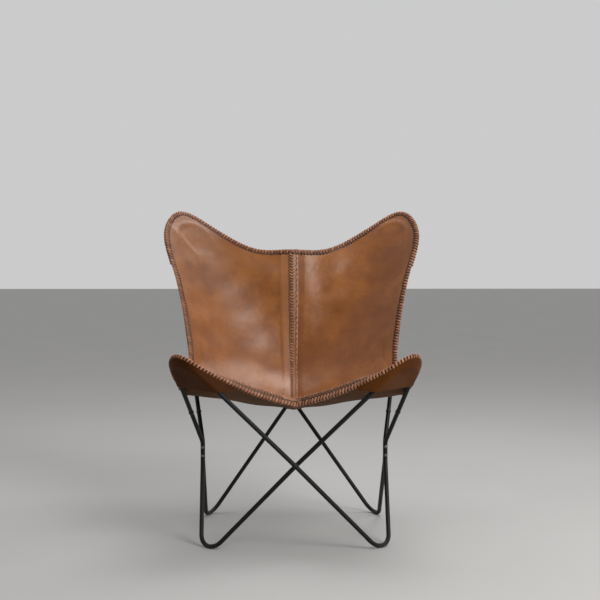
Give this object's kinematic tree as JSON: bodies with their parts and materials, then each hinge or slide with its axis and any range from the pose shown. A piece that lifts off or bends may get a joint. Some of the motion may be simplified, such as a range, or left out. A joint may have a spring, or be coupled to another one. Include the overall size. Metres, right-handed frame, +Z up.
{
  "type": "butterfly sling chair",
  "caption": "Lounge chair with a laced leather sling hung by corner pockets on the horns of a crossed frame of bent black steel rod.",
  "frame": {"origin": "On the floor, under the middle of the bounding box.", "axes": "+Z is up, the sitter faces -Y, +X is to the right for a viewer in front of the chair who looks along +Y."},
  "size_m": [0.7902, 0.7742, 0.9254],
  "materials": {
    "frame_black": "satin black powder coat",
    "weld_black": "coated weld bead",
    "screw_steel": "worn dark steel",
    "leather_tan": "waxed tan saddle leather",
    "leather_flesh_side": "dark brown outer face of the pockets and hem",
    "lace": "flat pale leather lace"
  },
  "bodies": {
    "root": {"front_frame_left_rod": "frame_black", "front_frame_right_rod": "frame_black", "rear_frame_left_rod": "frame_black", "rear_frame_right_rod": "frame_black", "side_screw_left_upper": "screw_steel", "side_nut_left_upper": "screw_steel", "side_screw_left_lower": "screw_steel", "side_nut_left_lower": "screw_steel", "side_screw_right_upper": "screw_steel", "side_nut_right_upper": "screw_steel", "side_screw_right_lower": "screw_steel", "side_nut_right_lower": "screw_steel", "front_crossing_weld": "weld_black", "front_left_butt_weld": "weld_black", "front_right_butt_weld": "weld_black", "rear_crossing_weld": "weld_black", "rear_left_butt_weld": "weld_black", "rear_right_butt_weld": "weld_black", "sling_left_panel": "leather_tan", "sling_right_panel": "leather_tan", "front_left_pocket": "leather_flesh_side", "rear_left_pocket": "leather_flesh_side", "front_left_hem": "leather_flesh_side", "front_left_hem_lacing": "lace", "left_edge_lacing": "lace", "front_right_pocket": "leather_flesh_side", "rear_right_pocket": "leather_flesh_side", "front_right_hem": "leather_flesh_side", "front_right_hem_lacing": "lace", "right_edge_lacing": "lace", "seam_lacing": "lace", "seam_stitching": "lace"}
  },
  "joints": []
}
